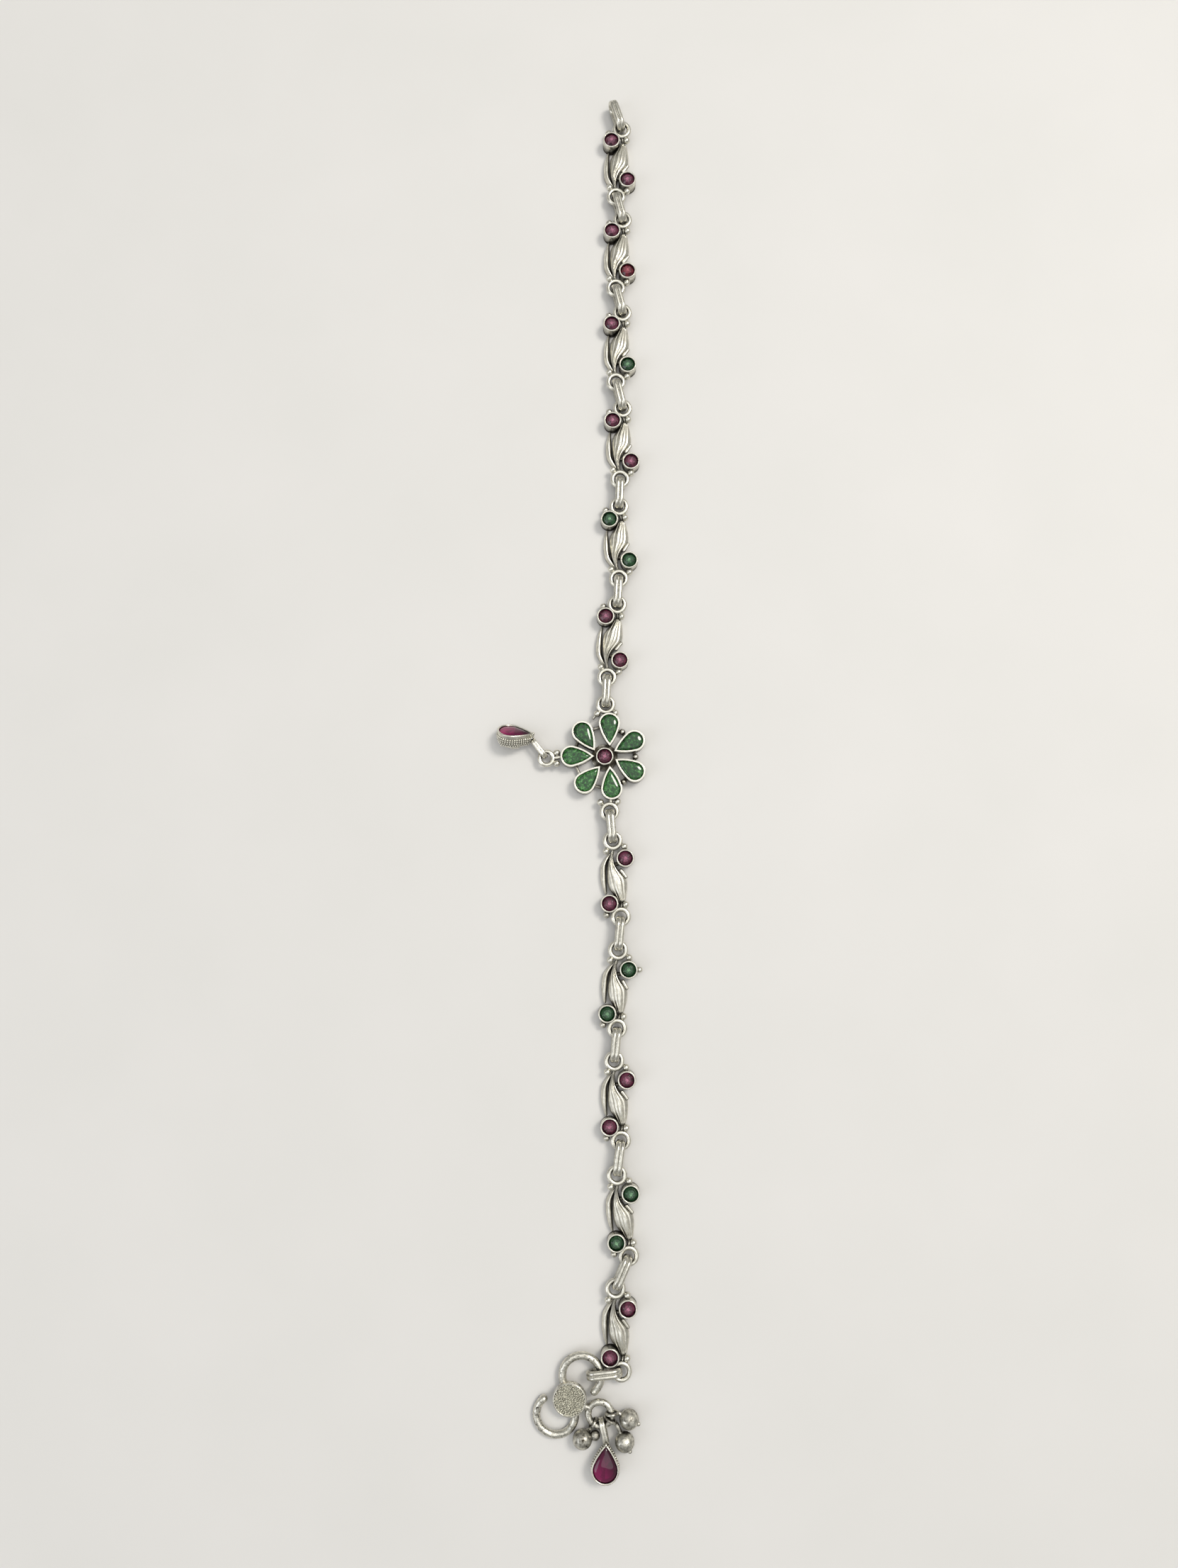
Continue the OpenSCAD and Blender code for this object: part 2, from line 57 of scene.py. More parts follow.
def add(tree, kind, sockets=None, **settings):
    """Adds a node. Each socket gets a plain value or a link from another node's output."""
    node = tree.nodes.new(kind)
    for name, value in settings.items():
        setattr(node, name, value)
    for key, value in (sockets or {}).items():
        if isinstance(value, bpy.types.NodeSocket):
            tree.links.new(value, node.inputs[key])
        else:
            node.inputs[key].default_value = value
    return node


camera = bpy.data.objects.new("camera", bpy.data.cameras.new("camera"))
scene.collection.objects.link(camera)
camera.location = (-0.0028, -0.0281, 0.2116)
camera.rotation_euler = (math.radians(6.3), 0, 0)
camera.data.lens = 27.2
camera.data.clip_start = 0.005
scene.camera = camera

# Each lamp's place and width in metres, its watts and its tint
LAMPS = [
    ("high_right", (0.5, 0.36, 0.95), 0.34, 6.0, "#fffaf2"),
    ("low_left", (-0.9, -0.4, 0.7), 0.8, 3.0, "#f2f6ff"),
    ("overhead", (0.15, 0.1, 0.9), 1.4, 4.8, "#ffffff"),
]
for name, place, size, watts, tint in LAMPS:
    lamp = bpy.data.objects.new(name, bpy.data.lights.new(name, "AREA"))
    lamp.data.shape = "DISK"
    lamp.data.size = size
    lamp.data.energy = watts
    lamp.data.color = linear(tint)[:3]
    lamp.location = place
    lamp.rotation_euler = (-Vector(place)).to_track_quat("-Z", "Y").to_euler()
    scene.collection.objects.link(lamp)

scene.world = bpy.data.worlds.new("room")
scene.world.use_nodes = True
room = scene.world.node_tree
room.nodes["Background"].inputs["Color"].default_value = linear("#e6e6e4")
room.nodes["Background"].inputs["Strength"].default_value = 0.5

# Matt lacquer on board: an even pale surface with the faintest cloudiness
lacquer = bpy.data.materials.new("matt_lacquered_board")
lacquer.use_nodes = True
tree = lacquer.node_tree
place = add(tree, "ShaderNodeTexCoord").outputs["Object"]
cloud_width = 0.03
cloud = add(tree, "ShaderNodeTexNoise", {"Vector": place, "Scale": 1 / cloud_width, "Detail": 3.0})
tone = add(
    tree, "ShaderNodeMix",
    {"Factor": cloud.outputs["Fac"], 6: linear("#cecdc9"), 7: linear("#d5d3d0")},
    data_type="RGBA",
)
board = tree.nodes["Principled BSDF"]
tree.links.new(tone.outputs[2], board.inputs["Base Color"])
board.inputs["Roughness"].default_value = 0.62

table_top = bpy.data.meshes.new("table_top")
# So wide that its edge shows from no side
reach = 9
corners = [(-reach, -reach, 0), (reach, -reach, 0), (reach, reach, 0), (-reach, reach, 0)]
table_top.from_pydata(corners, [], [(0, 1, 2, 3)])
table_top.materials.append(lacquer)
floor = bpy.data.objects.new("table_top", table_top)
scene.collection.objects.link(floor)

# ------------------------------------------------------------------------------------------
# Leaf links. Each is cast in silver in one piece with two eyelets, a ridged leaf blade, a thin
# crescent beside it, two cups and a few granules, then dipped to blacken it and rubbed bright
# on the high places.

MM = 0.001


def oxidised_silver(
    name, tarnish, polish, grain,
    mottle=1.1, oxide_and_shade=1.0, dents=None, notches=0.0, low=None, bright="#e2dfd2",
):
    """Blackened silver rubbed bright: oxide in its hollows and painted shade near other things, bright
    on edges, dents where hammered.

    tarnish is how dark it is on the whole, mottle how uneven, recess how dark where little
    light reaches, as oxide in its own hollows and as painted shade where the table and other
    pieces come near, and notches how dark in the hammer's marks, all from 0 up. polish is the
    roughness where it is bright. grain, dents and low are sizes in mm.
    """
    material = bpy.data.materials.new(name)
    material.use_nodes = True
    tree = material.node_tree
    place = add(tree, "ShaderNodeTexCoord").outputs["Object"]
    soft = add(tree, "ShaderNodeBevel", {"Radius": 0.1 * MM}, samples=4).outputs["Normal"]
    sharp = add(tree, "ShaderNodeNewGeometry").outputs["Normal"]
    along = add(tree, "ShaderNodeVectorMath", {0: soft, 1: sharp}, operation="DOT_PRODUCT")
    worn = add(
        tree, "ShaderNodeMapRange",
        {"Value": along.outputs["Value"], "From Min": 0.995, "From Max": 0.9},
    )
    # Darker where little light reaches within 1.1 mm: oxide in each piece's own hollows, and painted
    # shade near the table and the other pieces
    sky = add(tree, "ShaderNodeAmbientOcclusion", {"Distance": 1.1 * MM}, samples=8)
    oxide_and_shade_mask = add(
        tree, "ShaderNodeMapRange",
        {"Value": sky.outputs["AO"], "From Min": 0.76, "From Max": 0.28, "To Max": oxide_and_shade},
    )
    # Oxide comes away in patches of about 0.7 mm
    patches = add(
        tree, "ShaderNodeTexNoise",
        {"Vector": place, "Scale": 1 / (0.7 * MM), "Detail": 4.0, "Roughness": 0.6},
    )
    spotted = add(
        tree, "ShaderNodeMath",
        {0: patches.outputs["Fac"], 1: mottle, 2: tarnish - mottle / 2}, operation="MULTIPLY_ADD",
    )
    dark = add(
        tree, "ShaderNodeMath", {0: spotted.outputs[0], 1: oxide_and_shade_mask.outputs[0]}, operation="ADD"
    )
    if low:
        # Darker and darker below this height in mm, on the walls and bars
        rise = add(tree, "ShaderNodeSeparateXYZ", {0: place}).outputs["Z"]
        darker_below = add(
            tree, "ShaderNodeMapRange",
            {"Value": rise, "From Min": low * MM, "From Max": 0.3 * MM, "To Max": 0.8},
        )
        dark = add(tree, "ShaderNodeMath", {0: dark.outputs[0], 1: darker_below.outputs[0]}, operation="ADD")
    # Scratches and pores of 0.22 mm, coarser than real ones so that they show
    height = add(
        tree, "ShaderNodeTexNoise", {"Vector": place, "Scale": 1 / (0.22 * MM), "Detail": 3.0}
    ).outputs["Fac"]
    depth = grain
    if dents:
        # Each blow leaves a shallow dent, and a hard edge here and there a notch full of oxide
        blows = add(
            tree, "ShaderNodeTexVoronoi", {"Vector": place, "Scale": 1 / (dents * MM)}, feature="F1"
        )
        marks = add(
            tree, "ShaderNodeTexNoise",
            {"Vector": place, "Scale": 1 / (0.6 * dents * MM), "Detail": 2.0, "Distortion": 0.9},
        )
        notch = add(
            tree, "ShaderNodeMapRange",
            {"Value": marks.outputs["Fac"], "From Min": 0.54, "From Max": 0.69, "To Max": notches},
        ).outputs[0]
        dark = add(tree, "ShaderNodeMath", {0: dark.outputs[0], 1: notch}, operation="ADD")
        for mark, weight in ((blows.outputs["Distance"], 2.0), (notch, -1.2)):
            height = add(
                tree, "ShaderNodeMath", {0: mark, 1: weight, 2: height}, operation="MULTIPLY_ADD"
            ).outputs[0]
        depth = grain * 2
    dark = add(
        tree, "ShaderNodeMath",
        {0: worn.outputs[0], 1: -0.8, 2: dark.outputs[0]}, operation="MULTIPLY_ADD", use_clamp=True,
    ).outputs[0]
    colour = add(
        tree, "ShaderNodeMix",
        {"Factor": dark, 6: linear(bright), 7: linear("#38332a")}, data_type="RGBA",
    )
    dull = add(
        tree, "ShaderNodeMapRange",
        {"Value": dark, "To Min": polish, "To Max": min(polish + 0.3, 0.7)},
    )
    bump = add(
        tree, "ShaderNodeBump",
        {"Height": height, "Strength": 0.6, "Distance": depth * MM, "Normal": soft},
    )
    metal = tree.nodes["Principled BSDF"]
    metal.inputs["Metallic"].default_value = 1.0
    tree.links.new(colour.outputs[2], metal.inputs["Base Color"])
    tree.links.new(dull.outputs[0], metal.inputs["Roughness"])
    tree.links.new(bump.outputs[0], metal.inputs["Normal"])
    return material


def show(piece_name, mesh, material, slot, *nodes):
    """Puts a finished mesh in the scene in place of these nodes, or beside them."""
    mesh.materials.clear()
    mesh.materials.append(material)
    piece = bpy.data.objects.new(piece_name, mesh)
    scene.collection.objects.link(piece)
    if nodes:
        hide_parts(*nodes)
    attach(piece, "root")
    return piece


def smooth(mesh, crease):
    """Shades a mesh smooth, but for edges sharper than this angle in degrees."""
    mesh.polygons.foreach_set("use_smooth", [True] * len(mesh.polygons))
    mesh.set_sharp_from_angle(angle=math.radians(crease))
    mesh.update()


def merged(node, crease=34):
    """A smooth copy of a node's mesh, made anew from its points so that its old normals go."""
    form = bmesh.new()
    form.from_mesh(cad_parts[node].data)
    bmesh.ops.remove_doubles(form, verts=form.verts, dist=2e-7)
    form.verts.index_update()
    mesh = bpy.data.meshes.new(node)
    faces = [[v.index for v in f.verts] for f in form.faces]
    mesh.from_pydata([v.co for v in form.verts], [], faces)
    form.free()
    smooth(mesh, crease)
    return mesh


def made_of(form, name):
    """The mesh of a form that is finished."""
    mesh = bpy.data.meshes.new(name)
    form.to_mesh(mesh)
    form.free()
    return mesh


# Cast silver keeps a fine sandy skin where it isn't rubbed, and turns darker low on its walls
cast_silver = oxidised_silver("cast_oxidised_silver", 0.08, 0.24, 0.012, low=1.9)
# The leaves are rubbed least evenly, and stay mottled
leaf_silver = oxidised_silver("rubbed_leaf_silver", 0.16, 0.26, 0.02)

# Middle of each link in mm, and its turn in degrees; links 1 to 6 are upside down
LINK_PLACES = [
    (2.85, 113.172, -4.674), (2.85, 95.0265, -5.526), (2.8, 76.6793, -5.1),
    (3.15, 58.0482, -2.123), (2.65, 39.3569, -0.424), (1.375, 21.0801, -7.876),
    (2.1, -21.7355, 5.952), (2.2, -41.0269, -0.849), (2.15, -60.0814, 4.674),
    (3, -79.2924, 8.52), (2.2, -98.0783, 4.248),
]
# Place along the leaf, its left and right edge, and its share of the full height of 2.1 mm
LEAF_ROWS = [
    (4.8, -0.42, -0.33, 0.76), (4.75, -0.55, -0.2, 0.8), (3.7, -0.92, -0.22, 0.86),
    (2.7, -1.3, -0.1, 0.93), (1.7, -1.47, 0.35, 1), (0.8, -1.57, 1, 1), (-0.05, -1.6, 1.56, 1),
    (-0.9, -1.55, 1.7, 1), (-1.8, -1.3, 1.62, 0.97), (-2.6, -0.88, 1.47, 0.93),
    (-3.5, -0.42, 1.25, 0.88), (-4.15, -0.08, 1.02, 0.84), (-4.9, 0.3, 0.66, 0.32),
    (-5.0, 0.42, 0.54, 0.2),
]
# The same for the crescent, whose full height is 1.5 mm
CRESCENT_ROWS = [
    (4.65, -0.76, -0.64, 0.7), (4.55, -0.95, -0.45, 0.75), (3.7, -1.72, -0.98, 0.9),
    (2.7, -2.4, -1.5, 1), (1.6, -2.66, -1.72, 1), (0.5, -2.75, -1.82, 1), (-0.5, -2.72, -1.9, 0.95),
    (-1.5, -2.58, -1.95, 0.85), (-2.4, -2.35, -1.98, 0.65), (-2.55, -2.24, -2.1, 0.6),
]


def at_link(i):
    """A link's place on the table, in mm."""
    x, y, turn = LINK_PLACES[i - 1]
    flip = Matrix.Diagonal((1, -1 if i <= 6 else 1, 1, 1))
    return Matrix.Translation((x, y, 0)) @ Matrix.Rotation(math.radians(turn), 4, "Z") @ flip


def between(rows, steps):
    """Rows on a smooth curve through the given ones."""
    rows = np.array(rows, float)
    ends = np.vstack([2 * rows[0] - rows[1], rows, 2 * rows[-1] - rows[-2]])
    made = []
    for a, b, c, d in zip(ends, ends[1:], ends[2:], ends[3:]):
        square, cube = 2 * a - 5 * b + 4 * c - d, 3 * b - a - 3 * c + d
        for t in (s / steps for s in range(steps)):
            made.append(0.5 * (2 * b + (c - a) * t + square * t * t + cube * t**3))
    return made + [rows[-1]]


def carve(form, rows, height, ridges, groove, place):
    """A blade with rounded ridges along it, laid closely over the plain one."""
    skin, scratch = 0.045, 0.05
    across = 12 * ridges
    last = None
    for y, left, right, share in between(rows, 6):
        left, right = left - skin, right + skin
        ring = [form.verts.new(place @ Vector((x, y, skin))) for x in (left, right)]
        for k in range(across, -1, -1):
            t = k / across
            crown = share * height * (0.5 + 0.5 * math.sin(math.pi * t))
            edge = 1 / (2 * ridges)
            cut = groove * abs(math.cos(ridges * math.pi * t)) ** 3 if edge < t < 1 - edge else 0
            # A scratch along the top of each ridge
            cut += scratch * abs(math.sin(ridges * math.pi * t)) ** 24
            x = left + (right - left) * t
            ring.append(form.verts.new(place @ Vector((x, y, crown - cut + skin))))
        if last:
            for k in range(len(ring)):
                n = (k + 1) % len(ring)
                form.faces.new((last[k], last[n], ring[n], ring[k]))
        else:
            form.faces.new(ring)
        last = ring
    form.faces.new(last[::-1])


for i in range(1, 12):
    name = f"leaf_link_{i}"
    form = bmesh.new()
    place = Matrix.Scale(MM, 4) @ at_link(i)
    carve(form, LEAF_ROWS, 2.1, 4, 0.2, place)
    carve(form, CRESCENT_ROWS, 1.5, 1, 0, place)
    bmesh.ops.recalc_face_normals(form, faces=form.faces)
    blades = made_of(form, "blades")
    smooth(blades, 50)
    show(f"{name}_cast", merged(name), cast_silver, "silver", name)
    show(f"{name}_blades", blades, leaf_silver, "silver")

# ------------------------------------------------------------------------------------------
# Oval rings. Each is two drawn silver wires fused side by side and bent to an oval, which
# stands on edge through the eyelets. A fine twisted wire is soldered into the outer groove.


def new_tree(name, sizes):
    """A geometry tree with a geometry in and out, a material and these named sizes."""
    tree = bpy.data.node_groups.new(name, "GeometryNodeTree")
    tree.interface.new_socket("Geometry", in_out="OUTPUT", socket_type="NodeSocketGeometry")
    tree.interface.new_socket("Geometry", in_out="INPUT", socket_type="NodeSocketGeometry")
    tree.interface.new_socket("Material", in_out="INPUT", socket_type="NodeSocketMaterial")
    for size in sizes:
        tree.interface.new_socket(size, in_out="INPUT", socket_type="NodeSocketFloat")
    return tree, add(tree, "NodeGroupInput").outputs


def end_tree(tree, geometry, material):
    """Ends a tree with the geometry made real, smooth and of one material."""
    made = add(tree, "GeometryNodeRealizeInstances", {"Geometry": geometry}).outputs["Geometry"]
    made = add(tree, "GeometryNodeSetShadeSmooth", {"Geometry": made}).outputs["Geometry"]
    made = add(tree, "GeometryNodeSetMaterial", {"Geometry": made, "Material": material})
    add(tree, "NodeGroupOutput", {"Geometry": made.outputs["Geometry"]})


def baked(obj):
    """The plain mesh that an object's curve or modifiers come to."""
    return bpy.data.meshes.new_from_object(
        obj.evaluated_get(bpy.context.evaluated_depsgraph_get())
    )


def grown(mesh, tree, material, sizes):
    """The plain mesh that a geometry tree makes from a path or a surface."""
    base = bpy.data.objects.new("base", mesh)
    scene.collection.objects.link(base)
    growth = base.modifiers.new(tree.name, "NODES")
    growth.node_group = tree
    for socket in tree.interface.items_tree:
        if socket.in_out == "INPUT" and socket.name == "Material":
            growth[socket.identifier] = material
        elif socket.in_out == "INPUT" and socket.name in sizes:
            growth[socket.identifier] = float(sizes[socket.name])
    made = baked(base)
    base.modifiers.remove(growth)
    bpy.data.objects.remove(base)
    return made


def closed_path(points):
    """A closed line through these points in mm."""
    path = bpy.data.meshes.new("path")
    sides = [(k, (k + 1) % len(points)) for k in range(len(points))]
    path.from_pydata([Vector(p) * MM for p in points], sides, [])
    return path


# Two strands that wind round the path, each a half turn from the other
twist, given = new_tree("twisted_wire", ["Strand", "Turns", "Points"])
line = add(twist, "GeometryNodeMeshToCurve", {"Mesh": given["Geometry"]}).outputs["Curve"]
line = add(
    twist, "GeometryNodeResampleCurve", {"Curve": line, "Count": given["Points"]}
).outputs["Curve"]
line = add(twist, "GeometryNodeSetCurveNormal", {"Curve": line}, mode="Z_UP").outputs["Curve"]
index = add(twist, "GeometryNodeInputIndex").outputs[0]
step = add(twist, "ShaderNodeMath", {0: index, 1: given["Points"]}, operation="DIVIDE").outputs[0]
turn = add(twist, "ShaderNodeMath", {0: step, 1: given["Turns"]}, operation="MULTIPLY").outputs[0]
angle = add(twist, "ShaderNodeMath", {0: turn, 1: 2 * math.pi}, operation="MULTIPLY").outputs[0]
sideways = add(twist, "GeometryNodeInputNormal").outputs["Normal"]
forward = add(twist, "GeometryNodeInputTangent").outputs["Tangent"]
upward = add(
    twist, "ShaderNodeVectorMath", {0: forward, 1: sideways}, operation="CROSS_PRODUCT"
).outputs["Vector"]
half = add(twist, "ShaderNodeMath", {0: given["Strand"], 1: 0.5}, operation="MULTIPLY").outputs[0]
section = add(
    twist, "GeometryNodeCurvePrimitiveCircle", {"Resolution": 6, "Radius": half}
).outputs["Curve"]
both = add(twist, "GeometryNodeJoinGeometry")
for start in (0, math.pi):
    here = add(twist, "ShaderNodeMath", {0: angle, 1: start}, operation="ADD").outputs[0]
    out = []
    for way, wave in ((sideways, "COSINE"), (upward, "SINE")):
        share = add(twist, "ShaderNodeMath", {0: here}, operation=wave).outputs[0]
        part = add(twist, "ShaderNodeVectorMath", {0: way, "Scale": share}, operation="SCALE")
        out.append(part.outputs["Vector"])
    shift = add(
        twist, "ShaderNodeVectorMath", {0: out[0], 1: out[1]}, operation="ADD"
    ).outputs["Vector"]
    shift = add(
        twist, "ShaderNodeVectorMath", {0: shift, "Scale": half}, operation="SCALE"
    ).outputs["Vector"]
    strand = add(
        twist, "GeometryNodeSetPosition", {"Geometry": line, "Offset": shift}
    ).outputs["Geometry"]
    tube = add(twist, "GeometryNodeCurveToMesh", {"Curve": strand, "Profile Curve": section})
    twist.links.new(tube.outputs["Mesh"], both.inputs["Geometry"])
end_tree(twist, both.outputs["Geometry"], given["Material"])

# Drawn wire is smoother than a casting and mottled where oxide stays in its die marks
drawn_silver = oxidised_silver("drawn_oxidised_silver", 0.2, 0.2, 0.008)
# The twist keeps most of its oxide between the strands
twisted_silver = oxidised_silver("twisted_silver_wire", 0.3, 0.3, 0.006)

# Middle of each ring in mm and its turn in degrees; the last one leans on the hook
RING_PLACES = [
    (2.49767, 122.677, 108), (2.9, 104.095, 104.325), (2.8, 85.8552, 103.746),
    (2.8, 67.3748, 103.086), (2.8, 48.7048, 87.796), (2.45, 30.1867, 86.454),
    (0.325, 11.8969, 87.134), (1.13, -12.4359, 95.961), (2.55, -31.3634, 85.097),
    (1.85, -50.565, 84.878), (2.35, -69.7129, 83.128), (2.85, -88.6574, 66.849),
    (-0.204, -105.115, 186),
]
LAST_RING_ROLL, LAST_RING_RISE = 8, 0.06


def oval(length, height, wire, out, steps=14):
    """Points at this distance outside the middle line of an oval of two wires, flat in z."""
    bend, straight = (height - wire) / 2, (length - height) / 2
    return [
        (side * straight + (bend + out) * math.cos(a), (bend + out) * math.sin(a), 0)
        for side, first in ((1, -90), (-1, 90))
        for a in (math.radians(first + 180 * k / steps) for k in range(steps + 1))
    ]


RING_LENGTH, RING_HEIGHT, RING_WIRE, GROOVE = 6.2, 3.4, 0.86, 0.29
twisted = grown(
    closed_path(oval(RING_LENGTH, RING_HEIGHT, RING_WIRE, GROOVE)), twist, twisted_silver,
    {"Strand": 0.13 * MM, "Turns": 24, "Points": 288},
)
for i, (x, y, turn) in enumerate(RING_PLACES, 1):
    name = f"connector_{i}"
    show(f"{name}_drawn", merged(name, 40), drawn_silver, "silver", name)
    roll, rise = (LAST_RING_ROLL, LAST_RING_RISE) if i == 13 else (0, 0)
    mesh = twisted.copy()
    mesh.transform(
        Matrix.Translation(Vector((x, y, RING_HEIGHT / 2 + rise)) * MM)
        @ Matrix.Rotation(math.radians(turn), 4, "Z")
        @ Matrix.Rotation(math.radians(90 + roll), 4, "X")
    )
    show(f"{name}_twist", mesh, twisted_silver, "silver")

# ------------------------------------------------------------------------------------------
# Flower. A round cup and seven pear cups, rolled from strip and soldered to a small base with
# low bars and granules between them; the base and the gaps stay black.

show("flower_cast", merged("flower_setting"), cast_silver, "silver", "flower_setting")

# ------------------------------------------------------------------------------------------
# Round stones. Plum, garnet red and green glass stones of about 2.5 mm, cut with a table,
# stars, kites and girdle facets, each rubbed over by the rim of its cup.


def cut_glass(name, deep, body, light, veil=None):
    """Cut glass with painted reflections: each facet's tone makes it darker or lighter."""
    material = bpy.data.materials.new(name)
    material.use_nodes = True
    tree = material.node_tree
    tone = add(tree, "ShaderNodeAttribute", attribute_name="tone").outputs["Fac"]
    if veil:
        # Milky veils and specks inside the stone, of about this many mm
        place = add(tree, "ShaderNodeTexCoord").outputs["Object"]
        specks = add(
            tree, "ShaderNodeTexNoise",
            {"Vector": place, "Scale": 1 / (veil * MM), "Detail": 5.0, "Roughness": 0.7},
        )
        spread = add(
            tree, "ShaderNodeMath",
            {0: specks.outputs["Fac"], 1: 2.6, 2: -1.3}, operation="MULTIPLY_ADD",
        )
        tone = add(
            tree, "ShaderNodeMath", {0: tone, 1: spread.outputs[0]}, operation="ADD", use_clamp=True
        ).outputs[0]
    ramp = add(tree, "ShaderNodeValToRGB", {"Fac": tone})
    ramp.color_ramp.elements[0].color = linear(deep)
    ramp.color_ramp.elements[1].color = linear(light)
    ramp.color_ramp.elements.new(0.5).color = linear(body)
    soft = add(tree, "ShaderNodeBevel", {"Radius": 0.05 * MM}, samples=4).outputs["Normal"]
    glass = tree.nodes["Principled BSDF"]
    tree.links.new(ramp.outputs["Color"], glass.inputs["Base Color"])
    tree.links.new(soft, glass.inputs["Normal"])
    glass.inputs["Roughness"].default_value = 0.06
    glass.inputs["IOR"].default_value = 1.55
    return material


# Polished glass: each facet's reflection is painted in as a dark or bright tone, and the heart under
# the table is painted glowing
plum_glass = cut_glass("plum_cut_glass", "#1a080f", "#6a2c45", "#b06e88")
garnet_glass = cut_glass("garnet_cut_glass", "#1e060b", "#751b2e", "#b4606a")
green_glass = cut_glass("green_cut_glass", "#06130a", "#234f2c", "#78a57a")


def brilliant(form, tone, at, chance):
    """A round stone of 2.47 mm with its facets as a brilliant has them; tone is their layer of painted
    reflections.
    """
    radius, point, girdle_low, girdle_high, kites, top = 1.235, 1.05, 1.95, 2.09, 2.32, 2.52

    def circle(share, z, count, first=0.0):
        turns = [2 * math.pi * (k + first) / count for k in range(count)]
        r = radius * share
        return [form.verts.new(at @ Vector((r * math.cos(a), r * math.sin(a), z))) for a in turns]

    heart = form.verts.new(at @ Vector((0, 0, top)))
    inner = circle(0.22, top, 8)
    table = circle(0.56, top, 16)
    middle = circle(0.8, kites, 8, 0.5)
    upper = circle(1, girdle_high, 16)
    lower = circle(1, girdle_low, 16)
    foot = form.verts.new(at @ Vector((0, 0, point)))

    def facet(points, low, high):
        form.faces.new(points)[tone] = chance.uniform(low, high)

    # Painted reflections: brightest at the heart under the table, lighter on the table, darker on the
    # facets further out
    for k in range(8):
        n, a, b, c = (k + 1) % 8, 2 * k, 2 * k + 1, (2 * k + 2) % 16
        facet((heart, inner[k], inner[n]), 0.55, 1.0)
        facet((inner[k], table[a], table[b]), 0.12, 0.5)
        facet((inner[k], table[b], inner[n]), 0.3, 0.75)
        facet((inner[n], table[b], table[c]), 0.1, 0.5)
        facet((table[a], middle[k], table[c], table[b]), 0.12, 0.45)
        facet((table[a], middle[k - 1], upper[a], middle[k]), 0.05, 0.35)
        facet((middle[k], upper[a], upper[b]), 0.0, 0.3)
        facet((middle[k], upper[b], upper[c]), 0.1, 0.4)
    for k in range(16):
        n = (k + 1) % 16
        facet((lower[k], lower[n], upper[n], upper[k]), 0.1, 0.2)
        facet((foot, lower[n], lower[k]), 0.1, 0.3)


def stones(piece_name, places, material, slot, *nodes):
    """Round stones at these places, as one piece in place of these nodes."""
    form = bmesh.new()
    tone = form.faces.layers.float.new("tone")
    chance = random.Random(piece_name)
    for place in places:
        brilliant(form, tone, Matrix.Scale(MM, 4) @ place, chance)
    bmesh.ops.recalc_face_normals(form, faces=form.faces)
    show(piece_name, made_of(form, piece_name), material, slot, *nodes)


# Middle of each link's two cups in mm
UPPER_CUP, LOWER_CUP = (1.88, 3.4, 0), (-1.76, -4.25, 0)
GLASSES = {"plum": plum_glass, "garnet": garnet_glass, "dark_green": green_glass}
LINK_GLASSES = {5: "dark_green", 8: "dark_green", 10: "dark_green"}
for i in range(1, 12):
    cups = [at_link(i) @ Matrix.Translation(p) for p in (UPPER_CUP, LOWER_CUP)]
    if i in (2, 3):
        # These two links are upside down, so the cup nearer the chain's top is the second one
        stones(f"upper_stone_{i}_cut", cups[1:], plum_glass, "plum", f"upper_stone_{i}")
        slot = "garnet" if i == 2 else "dark_green"
        stones(f"lower_stone_{i}_cut", cups[:1], GLASSES[slot], slot, f"lower_stone_{i}")
    else:
        slot = LINK_GLASSES.get(i, "plum")
        stones(f"link_stones_{i}_cut", cups, GLASSES[slot], slot, f"link_stones_{i}")
stones("flower_centre_cut", [Matrix()], plum_glass, "plum", "flower_centre_stone")

# ------------------------------------------------------------------------------------------
# Petal stones. Milky green glass ground to low domed pears, with facets painted on as patches
# of reflected light and dark, one in each pear cup of the flower.


def pear_outline(width, length, inset=0.0, round_steps=24, side_steps=10):
    """A pear with its round end's centre at the origin and its tip towards -x."""
    r = width / 2
    tip, side = length - r, 2.4 * width
    along = (2 * side * r - r * r - tip * tip) / (2 * tip)
    across = math.sqrt((side - r) ** 2 - along * along)
    meet = math.atan2(across, -along)
    end = math.pi - math.asin(across / (side - inset))
    upper = [
        (along + (side - inset) * math.cos(a), (side - inset) * math.sin(a) - across)
        for a in (meet + (end - meet) * j / side_steps for j in range(1, side_steps + 1))
    ]
    turns = [meet * (2 * j / round_steps - 1) for j in range(round_steps + 1)]
    round_end = [((r - inset) * math.cos(a), (r - inset) * math.sin(a)) for a in turns]
    return round_end + upper + [(x, -y) for x, y in upper[-2::-1]]


